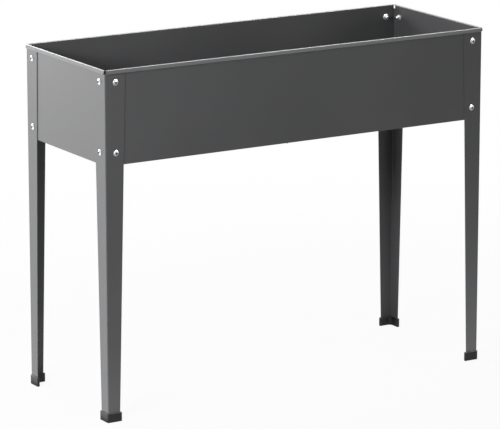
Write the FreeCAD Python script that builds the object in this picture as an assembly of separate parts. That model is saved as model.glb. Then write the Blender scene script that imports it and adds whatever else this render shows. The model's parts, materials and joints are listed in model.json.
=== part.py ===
import FreeCAD, Part
import math
import os

# Raised garden bed: a sheet-steel trough bolted to four tapered angle legs that stand in moulded feet.
# Millimetres. +Z is up, +X runs along the bed and -Y is its front.
# The origin is on the floor, under the middle of the bed.

V = FreeCAD.Vector
UP = V(0, 0, 1)
OUTWARDS = V(0, 1, 0)  # the way a panel faces while it is drawn

# Overall sizes
bed_length = 1000.0  # over the outer faces of the legs, along X
bed_width = 368.0  # over the outer faces of the legs, along Y
rim_height = 800.0  # from the floor to the crown of the rim

# Sheet stock
panel_sheet = 0.8
leg_sheet = 1.5
base_sheet = 0.8
bend_radius = 1.0  # inside radius of every square fold

# Small round forms, such as bolts, nuts and holes, have flats that keep their facets few.
round_sides = 12

# Wall panels
panel_height = 215.0
hem_height = 9.0  # height of the rim's folded-over band
hem_stand_off = 1.8  # the top of the band's face stands this far outside the legs
hem_angle = 13.0  # degrees that the band leans out towards its free edge
hem_end_inset = 1.8  # an end panel's band stops this short of the legs' outer faces
hem_corner_radius = 2.0
panel_flange = 20.0  # ledge under the bed, measured from the panel's outer face
corner_gap = 0.3  # a long panel stops this short of the end panel's inner face
end_web_gap = 5.5  # an end panel's web stops this short of the long panel's inner face
flange_gap = 1.0  # between the ledges of neighbouring panels

# Legs
leg_top_width = 50.5
leg_foot_width = 30.0
leg_top_gap = 1.0  # between the leg's top edge and the hem above it
leg_corner_radius = 3.0  # on the flanges' upper corners

# Leg fasteners
bolt_diameter = 6.0
bolt_hole_clearance = 0.6
bolt_from_corner = 26.0  # from the legs' outer corner to a bolt, on both flanges
upper_bolt_drop = 29.0  # from the crown of the rim down to the upper bolts
bolt_spacing = 158.0  # from the upper bolts down to the lower ones
bolt_head_diameter = 13.6
bolt_head_height = 3.5
bolt_head_edge = 0.7
dome_rings = (1.0, 0.75, 0.4)  # where a head's dome turns, as parts of the head's radius
bolt_tail = 3.7  # what shows past the nut
recess_span = 6.6
recess_width = 1.8
recess_depth = 2.4
nut_across_flats = 10.0
nut_height = 6.0
nut_flange_diameter = 14.2
nut_flange_edge = 1.1
nut_flange_height = 2.1
nut_bore_clearance = 0.2

# Base, in two halves
base_edge_gap = 0.5  # between a base panel's edge and the fold beside it
base_tab_gap = 0.5  # between the two halves beside the joint flanges
base_corner_radius = 6.0
joint_flange_depth = 14.0
joint_flange_setback = 50.0  # from the legs' outer faces to the end of the joint flanges
relief_slit = 1.5
joint_bolt_diameter = 4.0
joint_bolt_head_diameter = 8.0
joint_bolt_head_height = 2.6
joint_bolt_head_edge = 0.6
joint_bolt_end_gap = 34.0  # from the outer joint bolts to the end of the joint flanges
joint_bolt_count = 3
joint_bolt_hole_clearance = 0.5
joint_bolt_tail = 1.8
joint_recess_span = 3.6
joint_recess_width = 1.0
joint_recess_depth = 1.4
joint_nut_across_flats = 7.0
joint_nut_height = 3.2
bead_count = 2  # stiffening beads pressed up in each half
bead_width = 18.0
bead_top_width = 8.0
bead_height = 3.5
bead_end_gap = 34.0  # from a bead's end to the base panel's edge
drain_diameter = 8.0
drain_rows = 4
drain_edge_gap = 48.0  # from the outer rows of drain holes to the base panel's edge

# Feet
foot_height = 21.0
foot_sole = 3.0
foot_outer_wall = 2.2
foot_inner_wall = 2.6
foot_end_wall = 3.6
foot_clearance = 0.2  # round the leg in its pocket
foot_web_radius = 8.0  # the rounded web in the inner corner
foot_top_chamfer = 0.8

# Sizes that follow from those above
half_length = bed_length / 2
half_width = bed_width / 2
fold_radius = bend_radius + panel_sheet
panel_bottom = rim_height - panel_height
hem_inner_radius = (leg_sheet + hem_stand_off - panel_sheet) / 2
hem_outer_radius = hem_inner_radius + panel_sheet
crown_centre = rim_height - hem_outer_radius
hem_bottom = rim_height - hem_height
wall_depth = leg_sheet + panel_sheet  # from a leg's outer face to a panel's inner face
inner_length = half_length - wall_depth
inner_width = half_width - wall_depth
leg_top = hem_bottom - leg_top_gap
leg_bottom = foot_sole
upper_bolt = rim_height - upper_bolt_drop
lower_bolt = upper_bolt - bolt_spacing
bolt_hole = bolt_diameter + bolt_hole_clearance
bolt_length = wall_depth + nut_height + bolt_tail
base_underside = panel_bottom + panel_sheet
base_top = base_underside + base_sheet
cut_margin = panel_height  # how far a cutting tool runs past what it cuts


def corner_outline(corners):
    """A closed wire through (point, radius) corners, each rounded to its own radius."""
    arcs = []
    for index, (point, radius) in enumerate(corners):
        to_last = (corners[index - 1][0] - point).normalize()
        to_next = (corners[(index + 1) % len(corners)][0] - point).normalize()
        half_angle = to_last.getAngle(to_next) / 2
        inward = (to_last + to_next).normalize()
        reach = radius / math.tan(half_angle)
        top = point + inward * (radius / math.sin(half_angle) - radius)
        arcs.append((point + to_last * reach, top, point + to_next * reach, radius))
    edges = []
    for index, (start, top, end, radius) in enumerate(arcs):
        if radius > 0:
            edges.append(Part.Arc(start, top, end).toShape())
        edges.append(Part.LineSegment(end, arcs[(index + 1) % len(arcs)][0]).toShape())
    return Part.Wire(edges)


def plate(corners, thickness):
    """A flat plate on the outline of the corners, thickened along a vector."""
    return Part.Face(corner_outline(corners)).extrude(thickness)


def block(low, high):
    """A square block between two opposite corners."""
    size = high - low
    return Part.makeBox(size.x, size.y, size.z, low)


def turned(shape, degrees):
    """A copy turned about the bed's upright middle line."""
    copy = shape.copy()
    copy.rotate(V(0, 0, 0), UP, degrees)
    return copy


def ring(radius, z, sides=round_sides):
    """The corners of a level polygon round the Z axis."""
    step = 2 * math.pi / sides
    return [V(radius * math.cos(step * side), radius * math.sin(step * side), z) for side in range(sides)]


def flat_sided(rings):
    """A solid with flat faces between neighbouring rings of corners, the end rings closing it."""

    def face(corners):
        return Part.Face(Part.makePolygon(corners + corners[:1]))

    faces = [face(rings[0]), face(rings[-1])]
    for lower, upper in zip(rings, rings[1:]):
        for index in range(len(lower)):
            faces.append(face([lower[index - 1], lower[index], upper[index], upper[index - 1]]))
    return Part.makeSolid(Part.makeShell(faces)).removeSplitter()


def peg(diameter, start, way, length):
    """A round peg from start along way, to drill a hole with."""
    shape = flat_sided([ring(diameter / 2, 0), ring(diameter / 2, length)])
    shape.Placement = FreeCAD.Placement(start, FreeCAD.Rotation(UP, way))
    return shape


# Wall panels: one sheet each, with an open hem folded outwards along the rim for a safe edge,
# and a ledge folded inwards along the bottom to carry the base.
def panel_profile(inner_face):
    """The panel's section, outwards along +Y, with the web's inner face at inner_face."""
    outer_face = inner_face + panel_sheet
    crown = outer_face + hem_inner_radius
    lean = math.radians(hem_angle)
    band = (crown_centre + hem_inner_radius * math.sin(lean) - hem_bottom) / math.cos(lean)
    ledge_tip = outer_face - panel_flange
    fold_centre = V(0, outer_face - fold_radius, panel_bottom + fold_radius)
    diagonal = V(0, math.sqrt(0.5), -math.sqrt(0.5))

    def line(start, end):
        return Part.LineSegment(V(0, *start), V(0, *end)).toShape()

    def arc(start, middle, end):
        return Part.Arc(V(0, *start), middle, V(0, *end)).toShape()

    def on_band(radius, drop):
        across = crown + radius * math.cos(lean) + drop * math.sin(lean)
        return across, crown_centre + radius * math.sin(lean) - drop * math.cos(lean)

    under_fold = (outer_face - fold_radius, panel_bottom)
    beside_fold = (outer_face, panel_bottom + fold_radius)
    inside_fold = (inner_face, panel_bottom + fold_radius)
    over_fold = (inner_face - bend_radius, panel_bottom + panel_sheet)
    inside_crown = V(0, crown, crown_centre + hem_inner_radius)
    edges = [
        line((ledge_tip, panel_bottom), under_fold),
        arc(under_fold, fold_centre + diagonal * fold_radius, beside_fold),
        line(beside_fold, (outer_face, crown_centre)),
        arc((outer_face, crown_centre), inside_crown, on_band(hem_inner_radius, 0)),
        line(on_band(hem_inner_radius, 0), on_band(hem_inner_radius, band)),
        line(on_band(hem_inner_radius, band), on_band(hem_outer_radius, band)),
        line(on_band(hem_outer_radius, band), on_band(hem_outer_radius, 0)),
        arc(on_band(hem_outer_radius, 0), V(0, crown, rim_height), (inner_face, crown_centre)),
        line((inner_face, crown_centre), inside_fold),
        arc(inside_fold, fold_centre + diagonal * bend_radius, over_fold),
        line(over_fold, (ledge_tip, panel_bottom + panel_sheet)),
        line((ledge_tip, panel_bottom + panel_sheet), (ledge_tip, panel_bottom)),
    ]
    return Part.Face(Part.Wire(edges))


def wall_panel(inner_face, half_hem, half_web, half_ledge, bolt_reach):
    """A panel across +Y, with the half lengths of its hem, web and ledge along X."""
    profile = panel_profile(inner_face)
    profile.translate(V(-half_hem, 0, 0))
    panel = profile.extrude(V(2 * half_hem, 0, 0))
    outer_face = inner_face + panel_sheet
    leaf_middle = outer_face + hem_inner_radius
    far = half_hem + cut_margin
    for mirrored in (False, True):
        web_end = block(
            V(half_web, inner_face - cut_margin, panel_bottom - cut_margin),
            V(far, outer_face, crown_centre),
        )
        ledge_end = block(
            V(half_ledge, inner_face - cut_margin, panel_bottom - cut_margin),
            V(far, outer_face, panel_bottom + fold_radius),
        )
        leaf_corner = block(
            V(half_hem - hem_corner_radius, leaf_middle, hem_bottom),
            V(half_hem, leaf_middle + cut_margin, hem_bottom + hem_corner_radius),
        ).cut(
            Part.makeCylinder(
                hem_corner_radius,
                2 * cut_margin,
                V(half_hem - hem_corner_radius, leaf_middle - cut_margin, hem_bottom + hem_corner_radius),
                OUTWARDS,
            )
        )
        for tool in (web_end, ledge_end, leaf_corner):
            if mirrored:
                tool = tool.mirror(V(0, 0, 0), V(1, 0, 0))
            panel = panel.cut(tool)
    for x in (-bolt_reach, bolt_reach):
        for z in (upper_bolt, lower_bolt):
            start = V(x, inner_face - panel_sheet / 2, z)
            panel = panel.cut(peg(bolt_hole, start, OUTWARDS, 2 * panel_sheet))
    return panel


long_half = inner_length - corner_gap
long_panel = wall_panel(inner_width, long_half, long_half, long_half, half_length - bolt_from_corner)
end_panel = wall_panel(
    inner_length,
    half_width - hem_end_inset,
    inner_width - end_web_gap,
    half_width - leg_sheet - panel_flange - flange_gap,
    half_width - bolt_from_corner,
)


# Legs: a sheet folded square along its corner, both flanges tapering towards the floor.
# They are drawn with the outer corner at the origin and the flanges along +X and +Y.
def leg_flange():
    """The flange along +X, from the fold out to its tapered free edge."""
    fold = bend_radius + leg_sheet
    corners = [
        (V(fold, 0, leg_bottom), 0),
        (V(leg_foot_width, 0, leg_bottom), 0),
        (V(leg_top_width, 0, leg_top), leg_corner_radius),
        (V(fold, 0, leg_top), 0),
    ]
    flange = plate(corners, V(0, leg_sheet, 0))
    for z in (upper_bolt, lower_bolt):
        start = V(bolt_from_corner, -leg_sheet / 2, z)
        flange = flange.cut(peg(bolt_hole, start, V(0, 1, 0), 2 * leg_sheet))
    return flange


def leg_fold():
    """The quarter-round fold that joins a leg's flanges."""
    fold = bend_radius + leg_sheet
    axis = V(fold, fold, leg_bottom)
    height = leg_top - leg_bottom
    outside = Part.makeCylinder(fold, height, axis, UP, 90)
    inside = Part.makeCylinder(bend_radius, height, axis, UP, 90)
    quarter = outside.cut(inside)
    quarter.rotate(axis, UP, 180)
    return quarter


def across_diagonal(shape):
    """A copy with X and Y exchanged."""
    return shape.mirror(V(0, 0, 0), V(1, -1, 0).normalize())


flange_along = leg_flange()
leg = leg_fold().fuse([flange_along, across_diagonal(flange_along)]).removeSplitter()


# Fasteners: domed machine screws with a cross recess, drawn head up along +Z from the seat,
# and hexagon nuts drawn from their seat up.
def domed_bolt(diameter, length, head_diameter, head_height, head_edge, span, width, depth):
    """A screw whose head stands on z = 0 and whose shank reaches down to -length."""
    shank = diameter / 2
    rim = head_diameter / 2
    rings = [ring(shank, -length), ring(shank, 0), ring(rim, 0)]
    for part in dome_rings:
        rise = (1 - part**2) / (1 - dome_rings[-1] ** 2)
        rings.append(ring(rim * part, head_edge + (head_height - head_edge) * rise))
    floor = head_height - depth
    arm_x = block(V(-span / 2, -width / 2, floor), V(span / 2, width / 2, head_height + depth))
    arm_y = block(V(-width / 2, -span / 2, floor), V(width / 2, span / 2, head_height + depth))
    return flat_sided(rings).cut(arm_x.fuse(arm_y).removeSplitter())


def hexagon(across_flats, low, high):
    """A hexagon prism between two heights."""
    corner = across_flats / math.sqrt(3)
    return flat_sided([ring(corner, low, 6), ring(corner, high, 6)])


def flange_nut():
    """The leg bolts' nut, with a sloping flange in place of a washer."""
    rim = nut_flange_diameter / 2
    corner = nut_across_flats / math.sqrt(3)
    flange = flat_sided([ring(rim, 0), ring(rim, nut_flange_edge), ring(corner, nut_flange_height)])
    body = flange.fuse(hexagon(nut_across_flats, nut_flange_height, nut_height)).removeSplitter()
    return body.cut(peg(bolt_diameter + nut_bore_clearance, V(0, 0, 0), UP, nut_height))


def plain_nut():
    """The base bolts' nut."""
    bore = peg(joint_bolt_diameter + nut_bore_clearance, V(0, 0, 0), UP, joint_nut_height)
    return hexagon(joint_nut_across_flats, 0, joint_nut_height).cut(bore)


def on_leg(fastener, inward, depth):
    """The fastener at a leg's four bolt places, its +Z out of the flange, or inward, at a depth."""
    placed = []
    for z in (upper_bolt, lower_bolt):
        one = fastener.copy()
        one.rotate(V(0, 0, 0), V(1, 0, 0), -90 if inward else 90)
        one.translate(V(bolt_from_corner, depth, z))
        placed += [one, across_diagonal(one)]
    return Part.makeCompound(placed)


leg_bolt = domed_bolt(
    bolt_diameter,
    bolt_length,
    bolt_head_diameter,
    bolt_head_height,
    bolt_head_edge,
    recess_span,
    recess_width,
    recess_depth,
)
leg_bolts = on_leg(leg_bolt, False, 0)
leg_nuts = on_leg(flange_nut(), True, wall_depth)


# Feet: moulded caps on the legs' lower ends, L-shaped in plan, with a rounded web in the inner corner.
leg_taper = (leg_top_width - leg_foot_width) / (leg_top - leg_bottom)
leg_width_in_foot = leg_foot_width + leg_taper * (foot_height - leg_bottom)


def foot_outline():
    """The foot's outline on the floor."""
    outside = -foot_outer_wall
    inside = leg_sheet + foot_inner_wall
    arm = leg_width_in_foot + foot_end_wall
    outer_radius = bend_radius + leg_sheet + foot_outer_wall
    return [
        (V(outside, outside, 0), outer_radius),
        (V(arm, outside, 0), 0),
        (V(arm, inside, 0), 0),
        (V(inside, inside, 0), foot_web_radius),
        (V(inside, arm, 0), 0),
        (V(outside, arm, 0), 0),
    ]


def leg_pocket():
    """The slot that takes the leg's end, as wide as the leg is at the foot's top."""
    outside = -foot_clearance
    inside = leg_sheet + foot_clearance
    arm = leg_width_in_foot + foot_clearance
    corners = [
        (V(outside, outside, foot_sole), bend_radius + leg_sheet + foot_clearance),
        (V(arm, outside, foot_sole), 0),
        (V(arm, inside, foot_sole), 0),
        (V(inside, inside, foot_sole), bend_radius - foot_clearance),
        (V(inside, arm, foot_sole), 0),
        (V(outside, arm, foot_sole), 0),
    ]
    return plate(corners, V(0, 0, foot_height))


foot_body = plate(foot_outline(), V(0, 0, foot_height))
foot_top = [edge for edge in foot_body.Edges if edge.BoundBox.ZMin > foot_sole]
foot = foot_body.makeChamfer(foot_top_chamfer, foot_top).cut(leg_pocket())


# Base: two sheets on the panels' ledges. Their meeting edges are folded down and bolted back to back
# as a cross rib. Each half has beads pressed up across the bed, and drain holes between them.
base_far = inner_length - bend_radius - base_edge_gap
base_side = inner_width - bend_radius - base_edge_gap
joint_half = half_width - joint_flange_setback
joint_fold = bend_radius + base_sheet
joint_bottom = base_underside - joint_flange_depth


def joint_flange():
    """The folded-down edge of the right half, whose face at x = 0 meets the other half."""
    fold_start = base_top - joint_fold
    centre = V(joint_fold, -joint_half, fold_start)
    diagonal = V(-math.sqrt(0.5), 0, math.sqrt(0.5))

    def at(x, z):
        return V(x, -joint_half, z)

    def line(start, end):
        return Part.LineSegment(at(*start), at(*end)).toShape()

    def arc(start, radius, end):
        return Part.Arc(at(*start), centre + diagonal * radius, at(*end)).toShape()

    edges = [
        arc((joint_fold, base_top), joint_fold, (0, fold_start)),
        line((0, fold_start), (0, joint_bottom)),
        line((0, joint_bottom), (base_sheet, joint_bottom)),
        line((base_sheet, joint_bottom), (base_sheet, fold_start)),
        arc((base_sheet, fold_start), bend_radius, (joint_fold, base_underside)),
        line((joint_fold, base_underside), (joint_fold, base_top)),
    ]
    return Part.Face(Part.Wire(edges)).extrude(V(0, 2 * joint_half, 0))


def pressed_bead(x):
    """The upper skin of one bead, as a solid that stands on the base's top face."""

    def slot(z, width):
        half = width / 2
        nose = half * math.tan(math.pi / 8)
        spread = base_side - bead_end_gap - (bead_width - width) / 2
        straight = spread - half + nose
        right = [(half, -straight), (half, straight), (nose, spread), (-nose, spread)]
        left = [(-across, -along) for across, along in right]
        return [V(x + across, along, z) for across, along in right + left]

    return flat_sided([slot(base_top, bead_width), slot(base_top + bead_height, bead_top_width)])


def base_half():
    """The right half of the base."""
    flat = plate(
        [
            (V(joint_fold, -base_side, base_underside), 0),
            (V(base_far, -base_side, base_underside), base_corner_radius),
            (V(base_far, base_side, base_underside), base_corner_radius),
            (V(joint_fold, base_side, base_underside), 0),
        ],
        V(0, 0, base_sheet),
    )
    tab_start = joint_half + relief_slit
    tabs = [
        block(V(base_tab_gap / 2, tab_start, base_underside), V(joint_fold, base_side, base_top)),
        block(V(base_tab_gap / 2, -base_side, base_underside), V(joint_fold, -tab_start, base_top)),
    ]
    sheet = flat.fuse([joint_flange()] + tabs).removeSplitter()
    bay = (base_far - joint_fold) / (bead_count + 1)
    beads = [pressed_bead(joint_fold + bay * (index + 1)) for index in range(bead_count)]
    sheet = sheet.fuse(beads)
    for bead in beads:
        hollow = bead.copy()
        hollow.translate(V(0, 0, -base_sheet))
        sheet = sheet.cut(hollow)
    outer_row = base_side - drain_edge_gap
    for column in range(bead_count + 1):
        x = joint_fold + bay * (column + 0.5)
        for row in range(drain_rows):
            y = -outer_row + 2 * outer_row * row / (drain_rows - 1)
            start = V(x, y, base_underside - base_sheet / 2)
            sheet = sheet.cut(peg(drain_diameter, start, UP, 2 * base_sheet))
    for y, z in joint_bolt_places():
        start = V(-base_sheet / 2, y, z)
        hole = joint_bolt_diameter + joint_bolt_hole_clearance
        sheet = sheet.cut(peg(hole, start, V(1, 0, 0), 2 * base_sheet))
    return sheet


def joint_bolt_places():
    """Where the joint bolts pass through the folded edges, as (y, z)."""
    z = (base_underside - bend_radius + joint_bottom) / 2
    reach = joint_half - joint_bolt_end_gap
    pitch = 2 * reach / (joint_bolt_count - 1)
    return [(pitch * index - reach, z) for index in range(joint_bolt_count)]


def on_joint(fastener, x, degrees):
    """The fastener at every joint bolt's place, turned to point along X."""
    placed = []
    for y, z in joint_bolt_places():
        one = fastener.copy()
        one.rotate(V(0, 0, 0), V(0, 1, 0), degrees)
        one.translate(V(x, y, z))
        placed.append(one)
    return Part.makeCompound(placed)


right_base = base_half()
left_base = turned(right_base, 180)
joint_bolt = domed_bolt(
    joint_bolt_diameter,
    2 * base_sheet + joint_nut_height + joint_bolt_tail,
    joint_bolt_head_diameter,
    joint_bolt_head_height,
    joint_bolt_head_edge,
    joint_recess_span,
    joint_recess_width,
    joint_recess_depth,
)

nodes = {
    "front_panel": turned(long_panel, 180),
    "back_panel": long_panel,
    "left_end_panel": turned(end_panel, 90),
    "right_end_panel": turned(end_panel, -90),
    "left_base_panel": left_base,
    "right_base_panel": right_base,
    "base_joint_bolts": on_joint(joint_bolt, -base_sheet, -90),
    "base_joint_nuts": on_joint(plain_nut(), base_sheet, 90),
}

# What stands at each corner is drawn for the front left one and turned into the others.
corners = {
    "front_left": (-half_length, -half_width, 0),
    "front_right": (half_length, -half_width, 90),
    "back_right": (half_length, half_width, 180),
    "back_left": (-half_length, half_width, 270),
}
corner_pieces = {"leg": leg, "foot": foot, "leg_bolts": leg_bolts, "leg_nuts": leg_nuts}
for corner_name, (x, y, degrees) in corners.items():
    for piece_name, piece in corner_pieces.items():
        placed = turned(piece, degrees)
        placed.translate(V(x, y, 0))
        nodes[corner_name + "_" + piece_name] = placed

os.makedirs("parts", exist_ok=True)
for name, shape in nodes.items():
    shape.exportStep("parts/" + name + ".step")
    print(name, "solids", len(shape.Solids), "valid", shape.isValid(), "volume", round(shape.Volume, 1))
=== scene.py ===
import json
import math

import bmesh
import bpy
from mathutils import Matrix, Vector

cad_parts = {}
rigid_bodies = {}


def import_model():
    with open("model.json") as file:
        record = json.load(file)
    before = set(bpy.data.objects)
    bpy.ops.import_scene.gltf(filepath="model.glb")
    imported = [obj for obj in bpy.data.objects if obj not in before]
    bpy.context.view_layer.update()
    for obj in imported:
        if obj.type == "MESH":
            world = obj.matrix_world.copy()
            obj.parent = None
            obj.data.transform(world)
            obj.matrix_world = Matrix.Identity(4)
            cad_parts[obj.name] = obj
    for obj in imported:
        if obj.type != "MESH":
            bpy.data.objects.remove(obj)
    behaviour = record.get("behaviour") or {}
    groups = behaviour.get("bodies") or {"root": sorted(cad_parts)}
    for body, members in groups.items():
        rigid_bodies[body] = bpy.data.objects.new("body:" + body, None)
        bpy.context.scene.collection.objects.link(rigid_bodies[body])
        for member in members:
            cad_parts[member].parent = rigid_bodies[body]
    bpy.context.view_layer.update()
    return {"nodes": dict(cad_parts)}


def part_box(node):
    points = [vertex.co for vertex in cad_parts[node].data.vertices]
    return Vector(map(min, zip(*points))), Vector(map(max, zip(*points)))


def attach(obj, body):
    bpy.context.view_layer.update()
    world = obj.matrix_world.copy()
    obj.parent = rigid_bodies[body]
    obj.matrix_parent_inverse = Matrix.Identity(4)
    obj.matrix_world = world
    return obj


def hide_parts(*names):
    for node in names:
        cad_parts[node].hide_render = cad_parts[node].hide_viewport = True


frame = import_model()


# Legs: four tapered angles, each folded from one strip of steel sheet.
# They are powder coated dark grey and carry the trough between them.
coat_deep = (0.082, 0.083, 0.086, 1.0)
coat_pale = (0.096, 0.097, 0.100, 1.0)
coat_gloss = 0.34  # mirror light, where a plain gloss coat has 0.5
coat_smoothest = 0.34
coat_roughest = 0.42
coat_cloud_scale = 4.0  # clouds to the metre
coat_cloud_detail = 4.0
coat_ripple_scale = 650.0  # ripples of the baked powder to the metre
coat_ripple_detail = 2.0
coat_ripple_height = 0.00003
noise_low = 0.3  # a noise seldom leaves the range from low to high
noise_high = 0.7
merge_distance = 0.000002
corner_names = ("front_left", "front_right", "back_right", "back_left")


def socket(sockets, name):
    """A node's socket by its number, its name or its own identifier."""
    known_as = [entry for entry in sockets if entry.identifier == name]
    return known_as[0] if known_as else sockets[name]


def add(tree, kind, inputs=None, **settings):
    """A new node with its settings, and with its inputs as values or as other nodes' outputs."""
    node = tree.nodes.new(kind)
    for name, value in settings.items():
        setattr(node, name, value)
    for name, value in (inputs or {}).items():
        entry = socket(node.inputs, name)
        if isinstance(value, bpy.types.NodeSocket):
            tree.links.new(value, entry)
        else:
            entry.default_value = value
    return node


def two_tone(tree, factor, first, second):
    """A colour between two others."""
    ramp = add(tree, "ShaderNodeValToRGB", {"Fac": factor})
    ramp.color_ramp.elements[0].color = first
    ramp.color_ramp.elements[1].color = second
    return ramp.outputs["Color"]


def spread(tree, factor, low, high):
    """A number between low and high for a noise's usual range."""
    limits = {"Value": factor, "From Min": noise_low, "From Max": noise_high, "To Min": low, "To Max": high}
    return add(tree, "ShaderNodeMapRange", limits).outputs["Result"]


def noise(tree, scale, detail):
    """A noise over the object's own space."""
    place = add(tree, "ShaderNodeTexCoord").outputs["Object"]
    return add(tree, "ShaderNodeTexNoise", {"Vector": place, "Scale": scale, "Detail": detail}).outputs["Fac"]


def new_finish(name):
    """A new material and its node tree."""
    material = bpy.data.materials.new(name)
    material.use_nodes = True
    return material, material.node_tree


def surface(tree, colour, roughness, relief, relief_height):
    """The tree's shader, given its colour, its roughness and a fine relief."""
    shader = tree.nodes["Principled BSDF"]
    bump = add(tree, "ShaderNodeBump", {"Height": relief, "Distance": relief_height})
    tree.links.new(colour, shader.inputs["Base Color"])
    tree.links.new(roughness, shader.inputs["Roughness"])
    tree.links.new(bump.outputs["Normal"], shader.inputs["Normal"])
    return shader


def powder_coat():
    """Satin powder coat: an even dark grey, faintly clouded, with the fine ripple of baked powder."""
    material, tree = new_finish("dark_grey_powder_coat")
    clouds = noise(tree, coat_cloud_scale, coat_cloud_detail)
    ripple = noise(tree, coat_ripple_scale, coat_ripple_detail)
    colour = two_tone(tree, clouds, coat_deep, coat_pale)
    roughness = spread(tree, clouds, coat_smoothest, coat_roughest)
    shader = surface(tree, colour, roughness, ripple, coat_ripple_height)
    shader.inputs["Specular IOR Level"].default_value = coat_gloss
    return material


def coated_sheet(node_name):
    """The node's folded sheet in the powder coat, shaded like the solid: round folds and flat faces."""
    solid = frame["nodes"][node_name].data
    solid_normals = [corner.vector.copy() for corner in solid.corner_normals]
    form = bmesh.new()
    form.from_mesh(solid)
    # The corners are numbered, so that each finds its own normal again after the merge.
    number = form.loops.layers.int.new("corner_number")
    face_corners = [corner for face in form.faces for corner in face.loops]
    for index, corner in enumerate(face_corners):
        corner[number] = index
    bmesh.ops.remove_doubles(form, verts=form.verts, dist=merge_distance)
    mesh = bpy.data.meshes.new(node_name + "_coated")
    form.to_mesh(mesh)
    form.free()
    mesh.shade_smooth()
    numbers = mesh.attributes["corner_number"]
    normals = [solid_normals[entry.value] for entry in numbers.data]
    mesh.attributes.remove(numbers)
    mesh.normals_split_custom_set(normals)
    mesh.materials.append(dark_grey)
    sheet = bpy.data.objects.new(node_name + "_coated", mesh)
    bpy.context.scene.collection.objects.link(sheet)
    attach(sheet, "root")
    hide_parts(node_name)


dark_grey = powder_coat()
for corner in corner_names:
    coated_sheet(corner + "_leg")


# Wall panels: two long and two short sheets with a hem folded outwards along the rim
# and a ledge folded inwards below, in the same powder coat, bolted inside the legs' flanges.
for side in ("front_panel", "back_panel", "left_end_panel", "right_end_panel"):
    coated_sheet(side)


# Base: two drained sheets with pressed beads, laid on the panels' ledges.
# Their meeting edges are folded down and bolted back to back.
for half in ("left_base_panel", "right_base_panel"):
    coated_sheet(half)


# Leg bolts: zinc-plated steel screws with a low dome and a cross recess, four to a leg.
# They go through the leg's flange and the wall panel, and end in a nut inside the trough.
zinc_deep = (0.46, 0.47, 0.49, 1.0)
zinc_pale = (0.70, 0.70, 0.71, 1.0)
zinc_smoothest = 0.20
zinc_roughest = 0.36
painted_recess_shade = (0.03, 0.03, 0.032, 1.0)  # painted shade down in a recess, in place of the dark that falls there
zinc_grain_scale = 420.0
zinc_grain_detail = 3.0
zinc_grain_height = 0.00002
bolt_from_corner = 0.026
bolt_heights = (0.771, 0.613)
bolt_sizes = {
    "Head radius": 0.0068,
    "Head edge": 0.0007,
    "Dome rise": 0.0028,
    "Shank radius": 0.003,
    "Shank length": 0.012,
    "Thread pitch": 0.001,
    "Thread depth": 0.00035,
    "Recess span": 0.0068,
    "Recess width": 0.0019,
    "Recess depth": 0.0032,
    "Turn": 2.4,  # radians from one bolt to the next
}
head_sides = 40
dome_steps = 8
shank_sides = 24
thread_steps = 50  # rings of points along a thread
pit_sides = 16
pit_mouth = 2.0  # the pit cutter's radii above the crown and at its floor, in widths of the recess
pit_floor = 0.3
sharp_metal_edge = 28.0  # degrees


def zinc_plate(name, smoothest, roughest):
    """Zinc plate, a little uneven in tone and gloss, with a painted shade where the mesh is marked as a
    recess.
    """
    material, tree = new_finish(name)
    grain = noise(tree, zinc_grain_scale, zinc_grain_detail)
    # The marked recess faces are painted dark, as the shade that falls in them.
    recess_shade_mask = add(tree, "ShaderNodeAttribute", attribute_name="recess").outputs["Fac"]
    plated = two_tone(tree, grain, zinc_deep, zinc_pale)
    tones = {"Factor": recess_shade_mask, "A_Color": plated, "B_Color": painted_recess_shade}
    colour = socket(add(tree, "ShaderNodeMix", tones, data_type="RGBA").outputs, "Result_Color")
    roughness = spread(tree, grain, smoothest, roughest)
    shader = surface(tree, colour, roughness, grain, zinc_grain_height)
    shader.inputs["Metallic"].default_value = 1.0
    return material


def fastener_tree(name, size_names):
    """An empty tree that takes places, sizes and a finish, and the sockets that hand them on."""
    tree = bpy.data.node_groups.new(name, "GeometryNodeTree")
    sockets = tree.interface
    sockets.new_socket("Places", in_out="INPUT", socket_type="NodeSocketGeometry")
    for size_name in size_names:
        sockets.new_socket(size_name, in_out="INPUT", socket_type="NodeSocketFloat")
    sockets.new_socket("Finish", in_out="INPUT", socket_type="NodeSocketMaterial")
    sockets.new_socket("Fasteners", in_out="OUTPUT", socket_type="NodeSocketGeometry")
    return tree, add(tree, "NodeGroupInput").outputs


def calc(tree, operation, *values):
    """The result of one sum."""
    return add(tree, "ShaderNodeMath", dict(enumerate(values)), operation=operation).outputs[0]


def where(tree):
    """A point's x, y and z."""
    spot = add(tree, "GeometryNodeInputPosition").outputs["Position"]
    return add(tree, "ShaderNodeSeparateXYZ", {"Vector": spot}).outputs


def vector(tree, x, y, z):
    """Three numbers as a vector."""
    return add(tree, "ShaderNodeCombineXYZ", {"X": x, "Y": y, "Z": z}).outputs["Vector"]


def raised(tree, form, height):
    """The form moved up along +Z."""
    rise = vector(tree, 0.0, 0.0, height)
    moved = add(tree, "GeometryNodeTransform", {"Geometry": form, "Translation": rise})
    return moved.outputs["Geometry"]


def combine(tree, operation, *forms):
    """Several closed forms united or intersected, or the first one less the rest."""
    node = add(tree, "GeometryNodeMeshBoolean", operation=operation, solver="EXACT")
    for number, form in enumerate(forms):
        first_of_cut = operation == "DIFFERENCE" and number == 0
        tree.links.new(form, node.inputs["Mesh 1" if first_of_cut else "Mesh 2"])
    return node.outputs["Mesh"]


def cylinder(tree, radius, depth, vertices, sides=1, rings=1):
    """A closed cylinder that stands on z = 0."""
    shape = {"Radius": radius, "Depth": depth}
    counts = {"Vertices": vertices, "Side Segments": sides, "Fill Segments": rings}
    made = add(tree, "GeometryNodeMeshCylinder", shape | counts, fill_type="TRIANGLE_FAN")
    return raised(tree, made.outputs["Mesh"], calc(tree, "MULTIPLY", depth, 0.5))


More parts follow.
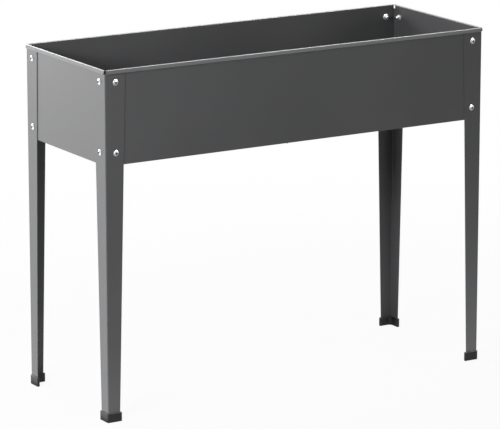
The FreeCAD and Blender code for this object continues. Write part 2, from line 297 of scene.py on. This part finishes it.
def moved_to(tree, form, x, y, z):
    """The form with its points moved to x, y and z."""
    node = add(tree, "GeometryNodeSetPosition", {"Geometry": form, "Position": vector(tree, x, y, z)})
    return node.outputs["Geometry"]


def set_in_place(tree, sizes, form):
    """Ends a tree: the form at every place, pointing the place's way and turned on from the last."""
    way = add(tree, "GeometryNodeInputNamedAttribute", {"Name": "way"}, data_type="FLOAT_VECTOR")
    pointed = add(tree, "FunctionNodeAlignRotationToVector", {"Vector": way.outputs["Attribute"]}, axis="Z")
    turn = calc(tree, "MULTIPLY", add(tree, "GeometryNodeInputIndex").outputs["Index"], sizes["Turn"])
    spin = add(tree, "FunctionNodeAxisAngleToRotation", {"Axis": (0.0, 0.0, 1.0), "Angle": turn})
    turned = add(
        tree,
        "FunctionNodeRotateRotation",
        {"Rotation": pointed.outputs["Rotation"], "Rotate By": spin.outputs["Rotation"]},
        rotation_space="LOCAL",
    )
    placed = add(
        tree,
        "GeometryNodeInstanceOnPoints",
        {"Points": sizes["Places"], "Instance": form, "Rotation": turned.outputs["Rotation"]},
    )
    plain = add(tree, "GeometryNodeRealizeInstances", {"Geometry": placed.outputs["Instances"]})
    finished = {"Geometry": plain.outputs["Geometry"], "Material": sizes["Finish"]}
    coated = add(tree, "GeometryNodeSetMaterial", finished)
    add(tree, "NodeGroupOutput", {"Fasteners": coated.outputs["Geometry"]})


def recess_marked(tree, form):
    """The form with its faces marked, so that the recess it cuts gets a painted shade and the head does not.
    """
    mark = {"Geometry": form, "Name": "recess", "Value": 1.0}
    node = add(tree, "GeometryNodeStoreNamedAttribute", mark, data_type="FLOAT", domain="FACE")
    return node.outputs["Geometry"]


def bolt_tree():
    """A domed screw: head up from z = 0, threaded shank down."""
    tree, sizes = fastener_tree("domed_bolt", bolt_sizes)
    blank = cylinder(tree, sizes["Head radius"], sizes["Head edge"], head_sides, rings=dome_steps)
    x, y, z = where(tree)
    away = calc(tree, "SQRT", calc(tree, "ADD", calc(tree, "MULTIPLY", x, x), calc(tree, "MULTIPLY", y, y)))
    out = calc(tree, "DIVIDE", away, sizes["Head radius"])
    bulge = calc(tree, "SUBTRACT", 1.0, calc(tree, "MULTIPLY", out, out))
    on_top = calc(tree, "GREATER_THAN", z, calc(tree, "MULTIPLY", sizes["Head edge"], 0.5))
    swell = calc(tree, "MULTIPLY", calc(tree, "MULTIPLY", bulge, on_top), sizes["Dome rise"])
    head = moved_to(tree, blank, x, y, calc(tree, "ADD", z, swell))

    depth = calc(tree, "ADD", sizes["Shank length"], calc(tree, "MULTIPLY", sizes["Head edge"], 0.5))
    rod = cylinder(tree, sizes["Shank radius"], depth, shank_sides, sides=thread_steps)
    x, y, z = where(tree)
    round_share = calc(tree, "DIVIDE", calc(tree, "ARCTAN2", y, x), 2 * math.pi)
    along = calc(tree, "ADD", calc(tree, "DIVIDE", z, sizes["Thread pitch"]), round_share)
    groove = calc(tree, "MULTIPLY", calc(tree, "PINGPONG", along, 0.5), 2.0)
    cut = calc(tree, "DIVIDE", calc(tree, "MULTIPLY", groove, sizes["Thread depth"]), sizes["Shank radius"])
    left = calc(tree, "SUBTRACT", 1.0, cut)
    lower = calc(tree, "SUBTRACT", z, sizes["Shank length"])
    shank = moved_to(tree, rod, calc(tree, "MULTIPLY", x, left), calc(tree, "MULTIPLY", y, left), lower)
    screw = combine(tree, "UNION", head, shank)

    crown = calc(tree, "ADD", sizes["Head edge"], sizes["Dome rise"])
    deep = calc(tree, "MULTIPLY", sizes["Recess depth"], 2.0)
    cutters = []
    for long_way, short_way in (("Recess span", "Recess width"), ("Recess width", "Recess span")):
        size = vector(tree, sizes[long_way], sizes[short_way], deep)
        arm = add(tree, "GeometryNodeMeshCube", {"Size": size})
        cutters.append(raised(tree, arm.outputs["Mesh"], crown))
    pit = add(
        tree,
        "GeometryNodeMeshCone",
        {
            "Vertices": pit_sides,
            "Radius Top": calc(tree, "MULTIPLY", sizes["Recess width"], pit_mouth),
            "Radius Bottom": calc(tree, "MULTIPLY", sizes["Recess width"], pit_floor),
            "Depth": deep,
        },
    )
    cutters.append(raised(tree, pit.outputs["Mesh"], calc(tree, "SUBTRACT", crown, sizes["Recess depth"])))
    # The cutters mark the recess they leave, for its painted shade.
    punched = [recess_marked(tree, cutter) for cutter in cutters]
    set_in_place(tree, sizes, combine(tree, "DIFFERENCE", screw, *punched))
    return tree


def fasteners(name, tree, sizes, finish, places):
    """One plain mesh with the tree's fastener at every (point, way) place."""
    points = bpy.data.meshes.new(name + "_places")
    points.from_pydata([point for point, way in places], [], [])
    ways = points.attributes.new("way", "FLOAT_VECTOR", "POINT")
    for entry, (point, way) in zip(ways.data, places):
        entry.vector = way
    holder = bpy.data.objects.new(name + "_places", points)
    bpy.context.scene.collection.objects.link(holder)
    modifier = holder.modifiers.new("fasteners", "NODES")
    modifier.node_group = tree
    for item in tree.interface.items_tree:
        if item.name in sizes:
            modifier[item.identifier] = sizes[item.name]
        if item.name == "Finish":
            modifier[item.identifier] = finish
    seen = holder.evaluated_get(bpy.context.evaluated_depsgraph_get())
    mesh = bpy.data.meshes.new_from_object(seen)
    bpy.data.objects.remove(holder)
    mesh.shade_smooth()
    mesh.set_sharp_from_angle(angle=math.radians(sharp_metal_edge))
    piece = bpy.data.objects.new(name, mesh)
    bpy.context.scene.collection.objects.link(piece)
    return piece


def leg_places(depth, outward):
    """Where the legs' fasteners sit, at a depth inside the flanges' outer faces, and the way each points."""
    places = []
    sign = -1 if outward else 1
    for corner in corner_names:
        low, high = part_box(corner + "_leg")
        from_left = 1 if low.x < 0 else -1
        from_front = 1 if low.y < 0 else -1
        corner_x = low.x if from_left > 0 else high.x
        corner_y = low.y if from_front > 0 else high.y
        for z in bolt_heights:
            long_side = Vector((corner_x + from_left * bolt_from_corner, corner_y + from_front * depth, z))
            short_side = Vector((corner_x + from_left * depth, corner_y + from_front * bolt_from_corner, z))
            places.append((long_side, Vector((0, sign * from_front, 0))))
            places.append((short_side, Vector((sign * from_left, 0, 0))))
    return places


bright_zinc = zinc_plate("bright_zinc_plate", zinc_smoothest, zinc_roughest)
domed_bolts = bolt_tree()
leg_bolts = fasteners("leg_bolts", domed_bolts, bolt_sizes, bright_zinc, leg_places(0.0, True))
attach(leg_bolts, "root")
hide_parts(*[corner + "_leg_bolts" for corner in corner_names])


# Leg nuts: zinc-plated hexagon nuts with a sloping flange in place of a washer.
# They are turned and tapped from bar, and drawn up against the wall panels inside the trough.
wall_thickness = 0.0023  # a leg's sheet and a panel's sheet together
nut_sizes = {
    "Flange radius": 0.0071,
    "Flange edge": 0.0011,
    "Flange slope": 0.0010,
    "Corner radius": 0.00577,
    "Height": 0.006,
    "Chamfer radius": 0.0049,
    "Bore radius": 0.0031,
    "Turn": 0.7,
}
nut_smoothest = 0.42
nut_roughest = 0.54
chamfer_run = math.sqrt(3)  # outward for each unit down, as on a chamfer of 30 degrees
hexagon_sides = 6
flange_sides = 40
bore_sides = 24
bore_length = 3.0  # in heights of the nut, so that the cutter reaches past both ends


def nut_tree():
    """A flange nut on z = 0: a hexagon with its top corners turned off, on a sloping flange."""
    tree, sizes = fastener_tree("flange_nut", nut_sizes)
    hexagon = cylinder(tree, sizes["Corner radius"], sizes["Height"], hexagon_sides)
    wide = calc(tree, "ADD", sizes["Chamfer radius"], calc(tree, "MULTIPLY", sizes["Height"], chamfer_run))
    turning = add(
        tree,
        "GeometryNodeMeshCone",
        {
            "Vertices": flange_sides,
            "Radius Top": sizes["Chamfer radius"],
            "Radius Bottom": wide,
            "Depth": sizes["Height"],
        },
    )
    body = combine(tree, "INTERSECT", hexagon, turning.outputs["Mesh"])
    flange = cylinder(tree, sizes["Flange radius"], sizes["Flange edge"], flange_sides)
    slope = add(
        tree,
        "GeometryNodeMeshCone",
        {
            "Vertices": flange_sides,
            "Radius Top": sizes["Chamfer radius"],
            "Radius Bottom": sizes["Flange radius"],
            "Depth": sizes["Flange slope"],
        },
    )
    sloped = raised(tree, slope.outputs["Mesh"], sizes["Flange edge"])
    bore_depth = calc(tree, "MULTIPLY", sizes["Height"], bore_length)
    bore = cylinder(tree, sizes["Bore radius"], bore_depth, bore_sides)
    low_bore = raised(tree, bore, calc(tree, "MULTIPLY", sizes["Height"], -1.0))
    solid = combine(tree, "UNION", body, flange, sloped)
    set_in_place(tree, sizes, combine(tree, "DIFFERENCE", solid, low_bore))
    return tree


dull_zinc = zinc_plate("dull_zinc_plate", nut_smoothest, nut_roughest)
flange_nuts = nut_tree()
leg_nuts = fasteners("leg_nuts", flange_nuts, nut_sizes, dull_zinc, leg_places(wall_thickness, False))
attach(leg_nuts, "root")
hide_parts(*[corner + "_leg_nuts" for corner in corner_names])


# Base bolts and nuts: three small zinc-plated screws and plain nuts.
# They clamp the two halves' folded edges back to back under the trough.
base_sheet = 0.0008
base_bolt_reach = 0.1  # from the middle one to the outer ones
base_bolt_sizes = {
    "Head radius": 0.004,
    "Head edge": 0.0006,
    "Dome rise": 0.002,
    "Shank radius": 0.002,
    "Shank length": 0.0066,
    "Thread pitch": 0.0007,
    "Thread depth": 0.00022,
    "Recess span": 0.0036,
    "Recess width": 0.001,
    "Recess depth": 0.0014,
    "Turn": 2.4,
}
base_nut_sizes = {
    "Flange radius": 0.0034,
    "Flange edge": 0.0008,
    "Flange slope": 0.0008,
    "Corner radius": 0.00404,
    "Height": 0.0032,
    "Chamfer radius": 0.0034,
    "Bore radius": 0.0021,
    "Turn": 0.5,
}


def joint_places(x, way):
    """Where the base's fasteners sit along its joint, at the height of the nuts' own box."""
    low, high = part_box("base_joint_nuts")
    z = (low.z + high.z) / 2
    return [(Vector((x, y, z)), Vector((way, 0, 0))) for y in (-base_bolt_reach, 0, base_bolt_reach)]


base_bolts = fasteners("base_bolts", domed_bolts, base_bolt_sizes, bright_zinc, joint_places(-base_sheet, -1))
base_nuts = fasteners("base_nuts", flange_nuts, base_nut_sizes, dull_zinc, joint_places(base_sheet, 1))
for group, node_name in ((base_bolts, "base_joint_bolts"), (base_nuts, "base_joint_nuts")):
    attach(group, "root")
    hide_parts(node_name)


# Feet: black moulded caps, L-shaped in plan, pushed onto the legs' lower ends.
# Their edges are rounded as the mould leaves them, and a rounded web fills the inner corner.
foot_deep = (0.005, 0.005, 0.0055, 1.0)
foot_pale = (0.010, 0.010, 0.0105, 1.0)
foot_gloss = 0.42
foot_smoothest = 0.45
foot_roughest = 0.60
foot_grain_scale = 900.0
foot_grain_detail = 3.0
foot_grain_height = 0.00006
leg_sheet = 0.0015
foot_outer_wall = 0.0022
foot_inner_wall = 0.0026
foot_end_wall = 0.0036
foot_sole = 0.003
foot_clearance = 0.0002
foot_outer_radius = 0.0043
foot_end_radius = 0.0012
foot_web_radius = 0.008
foot_edge_radius = 0.0008
corner_steps = 6
sharp_moulded_edge = 40.0  # degrees
largest_face_only = 100  # the normals' weight that leaves the sides' shading flat up to their edges


def moulded_plastic():
    """Black moulded plastic with a fine leathery grain."""
    material, tree = new_finish("black_moulded_plastic")
    grain = noise(tree, foot_grain_scale, foot_grain_detail)
    colour = two_tone(tree, grain, foot_deep, foot_pale)
    roughness = spread(tree, grain, foot_smoothest, foot_roughest)
    shader = surface(tree, colour, roughness, grain, foot_grain_height)
    shader.inputs["Specular IOR Level"].default_value = foot_gloss
    return material


def quarter_turn():
    """The cosine and the sine at even steps through a quarter turn."""
    turns = [math.pi / 2 * step / corner_steps for step in range(corner_steps + 1)]
    return [(math.cos(turn), math.sin(turn)) for turn in turns]


def l_outline(outside, inside, arm, outer_radius, end_radius, web_radius):
    """Points round an L with its outer corner near the origin and its arms along +X and +Y."""
    corners = [
        (Vector((outside, outside)), outer_radius),
        (Vector((arm, outside)), end_radius),
        (Vector((arm, inside)), end_radius),
        (Vector((inside, inside)), web_radius),
        (Vector((inside, arm)), end_radius),
        (Vector((outside, arm)), end_radius),
    ]
    points = []
    for index, (corner, radius) in enumerate(corners):
        to_last = (corners[index - 1][0] - corner).normalized()
        to_next = (corners[(index + 1) % len(corners)][0] - corner).normalized()
        centre = corner + (to_last + to_next) * radius
        for cosine, sine in quarter_turn():
            points.append(centre - to_next * radius * cosine - to_last * radius * sine)
    return points


def foot_rings(height, arm):
    """The foot's sections from the sole up, over its rounded lip and down into the leg's pocket."""
    rings = []
    inside = leg_sheet + foot_inner_wall

    def section(z, inset):
        """Adds the foot's outline at a height, drawn in all round by inset."""
        outline = l_outline(
            inset - foot_outer_wall,
            inside - inset,
            arm - inset,
            foot_outer_radius - inset,
            foot_end_radius,
            foot_web_radius + inset,
        )
        rings.append([point.to_3d() + Vector((0, 0, z)) for point in outline])

    for cosine, sine in quarter_turn():
        section(foot_edge_radius * (1 - sine), foot_edge_radius * (1 - cosine))
    rings.reverse()
    for cosine, sine in quarter_turn():
        section(height - foot_edge_radius * (1 - sine), foot_edge_radius * (1 - cosine))
    pocket = l_outline(
        -foot_clearance,
        leg_sheet + foot_clearance,
        arm - foot_end_wall + foot_clearance,
        foot_outer_radius - foot_outer_wall + foot_clearance,
        foot_clearance,
        foot_end_radius,
    )
    for z in (height, foot_sole):
        rings.append([point.to_3d() + Vector((0, 0, z)) for point in pocket])
    return rings


def moulded_foot(corner, degrees):
    """One cap at its corner, drawn for the front left one and turned."""
    low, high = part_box(corner + "_foot")
    arm = high.x - low.x - foot_outer_wall
    corner_x = math.copysign(max(abs(low.x), abs(high.x)) - foot_outer_wall, low.x)
    corner_y = math.copysign(max(abs(low.y), abs(high.y)) - foot_outer_wall, low.y)
    form = bmesh.new()
    rings = [[form.verts.new(point) for point in ring] for ring in foot_rings(high.z, arm)]
    for lower, upper in zip(rings, rings[1:]):
        for index in range(len(lower)):
            form.faces.new((lower[index - 1], lower[index], upper[index], upper[index - 1]))
    form.faces.new(reversed(rings[0]))
    form.faces.new(rings[-1])
    place = Matrix.Translation((corner_x, corner_y, 0)) @ Matrix.Rotation(math.radians(degrees), 4, "Z")
    bmesh.ops.transform(form, matrix=place, verts=form.verts)
    bmesh.ops.recalc_face_normals(form, faces=form.faces)
    mesh = bpy.data.meshes.new(corner + "_cap")
    form.to_mesh(mesh)
    form.free()
    mesh.shade_smooth()
    mesh.set_sharp_from_angle(angle=math.radians(sharp_moulded_edge))
    mesh.materials.append(plastic)
    foot = bpy.data.objects.new(corner + "_cap", mesh)
    bpy.context.scene.collection.objects.link(foot)
    flat_sides = foot.modifiers.new("flat_sides", "WEIGHTED_NORMAL")
    flat_sides.weight = largest_face_only
    flat_sides.keep_sharp = True
    return foot


plastic = moulded_plastic()
for corner, degrees in zip(corner_names, (0, 90, 180, 270)):
    foot = moulded_foot(corner, degrees)
    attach(foot, "root")
    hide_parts(corner + "_foot")


# Floor and surroundings: a plain white studio floor that runs out to a white background.
# The camera and mirror-like surfaces see them as white, and the floor keeps a faint shadow.
plain_white = (1.0, 1.0, 1.0, 1.0)
floor_reach = 30.0
floor_white = (0.9, 0.9, 0.9, 1.0)
floor_bounce = (0.3, 0.3, 0.3, 1.0)  # how much of its light it throws back at the object
floor_near = 0.7  # from here out the floor goes over from lit to plain white
floor_far_seen = 2.2  # where it is all white when seen directly
floor_far_mirrored = 7.0  # and when seen in a reflection
near_share_seen = 0.94  # how white the near floor is when seen directly
near_share_mirrored = 0.45  # and when seen in a reflection
ambient_strength = 0.02


def seen_directly(tree):
    """Whether a ray comes from the camera, and whether from a reflection or through glass, as one or zero."""
    path = add(tree, "ShaderNodeLightPath").outputs
    mirrored = calc(tree, "MAXIMUM", path["Is Glossy Ray"], path["Is Transmission Ray"])
    return path["Is Camera Ray"], mirrored


def studio_white():
    """The floor's finish: matt and lit by the lamps near the object, and plain white further out."""
    material, tree = new_finish("studio_white")
    tree.nodes.clear()
    camera_ray, mirrored = seen_directly(tree)
    place = add(tree, "ShaderNodeTexCoord").outputs["Object"]
    away = add(tree, "ShaderNodeVectorMath", {0: place}, operation="LENGTH").outputs["Value"]

    def white_share(ray, near_share, far):
        """The share of plain white that one kind of ray finds, which grows outwards up to far."""
        limits = {"Value": away, "From Min": floor_near, "From Max": far, "To Min": near_share}
        grown = add(tree, "ShaderNodeMapRange", limits)
        return calc(tree, "MULTIPLY", ray, grown.outputs["Result"])

    seen = white_share(camera_ray, near_share_seen, floor_far_seen)
    share = calc(tree, "MAXIMUM", seen, white_share(mirrored, near_share_mirrored, floor_far_mirrored))
    tones = {"Factor": camera_ray, "A_Color": floor_bounce, "B_Color": floor_white}
    tone = add(tree, "ShaderNodeMix", tones, data_type="RGBA")
    lit = add(tree, "ShaderNodeBsdfDiffuse", {"Color": socket(tone.outputs, "Result_Color")})
    white = add(tree, "ShaderNodeEmission", {"Color": plain_white, "Strength": 1.0})
    mixed = add(tree, "ShaderNodeMixShader", {0: share, 1: lit.outputs["BSDF"], 2: white.outputs["Emission"]})
    add(tree, "ShaderNodeOutputMaterial", {"Surface": mixed.outputs["Shader"]})
    return material


floor_mesh = bpy.data.meshes.new("floor")
floor_corners = [(x * floor_reach, y * floor_reach, 0) for x, y in ((-1, -1), (1, -1), (1, 1), (-1, 1))]
floor_mesh.from_pydata(floor_corners, [], [(0, 1, 2, 3)])
floor_mesh.materials.append(studio_white())
floor = bpy.data.objects.new("floor", floor_mesh)
bpy.context.scene.collection.objects.link(floor)

world = bpy.data.worlds.new("studio")
world.use_nodes = True
bpy.context.scene.world = world
world_tree = world.node_tree
world_tree.nodes.clear()
camera_ray, mirrored = seen_directly(world_tree)
shown = calc(world_tree, "MAXIMUM", camera_ray, mirrored)
added = calc(world_tree, "MULTIPLY", shown, 1.0 - ambient_strength)
strength = calc(world_tree, "ADD", added, ambient_strength)
glow = add(world_tree, "ShaderNodeBackground", {"Color": plain_white, "Strength": strength})
add(world_tree, "ShaderNodeOutputWorld", {"Surface": glow.outputs["Background"]})


# Lamps: a key lamp on the left, soft boxes behind, and bright panels on the left and by the legs.
# The panels stand in for the light that a white studio throws back at the coated sheets.
panel_lift = 0.004  # a floor panel's height over the floor


def soft_box(name, place, aim, width, height, watts):
    """A rectangular lamp at place that faces aim."""
    lamp = bpy.data.lights.new(name, "AREA")
    lamp.shape = "RECTANGLE"
    lamp.size = width
    lamp.size_y = height
    lamp.energy = watts
    box = bpy.data.objects.new(name, lamp)
    box.location = place
    box.rotation_euler = (Vector(aim) - Vector(place)).to_track_quat("-Z", "Y").to_euler()
    box.visible_camera = False
    bpy.context.scene.collection.objects.link(box)
    return box


def floor_panel(name, x, y, width, height, watts):
    """A soft box that lies on the floor and faces straight up."""
    place = Vector((x, y, panel_lift))
    return soft_box(name, place, place + Vector((0, 0, 1)), width, height, watts)


def sheets_of(side):
    """The coated sheets of one side of the bed, for lamps that light no others."""
    sheets = bpy.data.collections.new(side + "_sheets")
    for piece in bpy.data.objects:
        if piece.name.startswith(side) and piece.name.endswith("_coated"):
            sheets.objects.link(piece)
    return sheets


soft_box("left_key", (-2.4, -1.3, 1.45), (0.0, 0.0, 0.6), width=1.0, height=0.5, watts=53.0)
soft_box("rear_strip", (1.2, 2.6, 2.9), (0.0, 0.0, 0.8), width=5.0, height=1.8, watts=42.0)
soft_box("rear_left_box", (-1.5, 2.8, 1.9), (0.0, 0.0, 0.7), width=2.0, height=1.0, watts=46.5)
floor_panel("left_floor_panel", -1.86, 2.1, width=2.7, height=4.7, watts=60.0)
soft_box("left_back_panel", (-2.4, 4.4, 0.7), (-0.5, 0.0, 0.7), width=2.6, height=1.4, watts=56.0)
# A small panel on the floor by each leg lights it from below and doesn't show in the gloss.
# The front panels light the front's sheets alone and the rear ones the back's.
front_sheets = sheets_of("front")
back_sheets = sheets_of("back")
for leg_panel, lit_sheets in (
    (floor_panel("left_front_panel", -0.55, -0.44, width=0.7, height=0.5, watts=1.3), front_sheets),
    (floor_panel("right_front_panel", 0.6, -0.44, width=0.7, height=0.5, watts=2.15), front_sheets),
    (floor_panel("left_rear_panel", -0.42, 0.0, width=0.3, height=0.24, watts=0.2), back_sheets),
    (floor_panel("right_rear_panel", 0.36, 0.0, width=0.3, height=0.24, watts=0.3), back_sheets),
):
    leg_panel.visible_glossy = False
    leg_panel.light_linking.receiver_collection = lit_sheets
# Four lamps show in the gloss alone: two draw the bright line along the crown of the rim,
# one brightens the front rim's band, and one over the trough picks out the nuts inside it.
for gloss_lamp in (
    soft_box("end_rim_lamp", (-1.0, 2.9, 2.2), (-0.5, 0.0, 0.8), width=2.4, height=1.2, watts=150.0),
    soft_box("front_rim_lamp", (1.26, -0.68, 2.9), (0.0, -0.18, 0.8), width=2.2, height=1.6, watts=390.0),
    soft_box("front_band_lamp", (2.0, -3.6, 1.6), (0.0, -0.18, 0.79), width=1.6, height=0.8, watts=30.0),
    soft_box("nut_lamp", (-0.1, 0.5, 2.95), (0.4, 0.1, 0.75), width=1.2, height=1.2, watts=60.0),
):
    gloss_lamp.visible_diffuse = False


# Camera: a long lens far off to the front left that looks a little down over the rim.
# The picture keeps the colours as lit, with no tone curve.
camera_aim = Vector((-0.003, 0.026, 0.373))
camera_distance = 7.9
camera_azimuth = math.radians(-31.277)
camera_elevation = math.radians(13.529)
camera_sensor = 36.0  # millimetres, like the lens
camera_lens = 244.2
camera_data = bpy.data.cameras.new("camera")
camera_data.sensor_width = camera_sensor
camera_data.lens = camera_lens
camera = bpy.data.objects.new("camera", camera_data)
level = math.cos(camera_elevation)
back = Vector(
    (math.sin(camera_azimuth) * level, -math.cos(camera_azimuth) * level, math.sin(camera_elevation))
)
camera.location = camera_aim + back * camera_distance
camera.rotation_euler = (-back).to_track_quat("-Z", "Y").to_euler()
bpy.context.scene.collection.objects.link(camera)
bpy.context.scene.camera = camera
bpy.context.scene.view_settings.view_transform = "Standard"
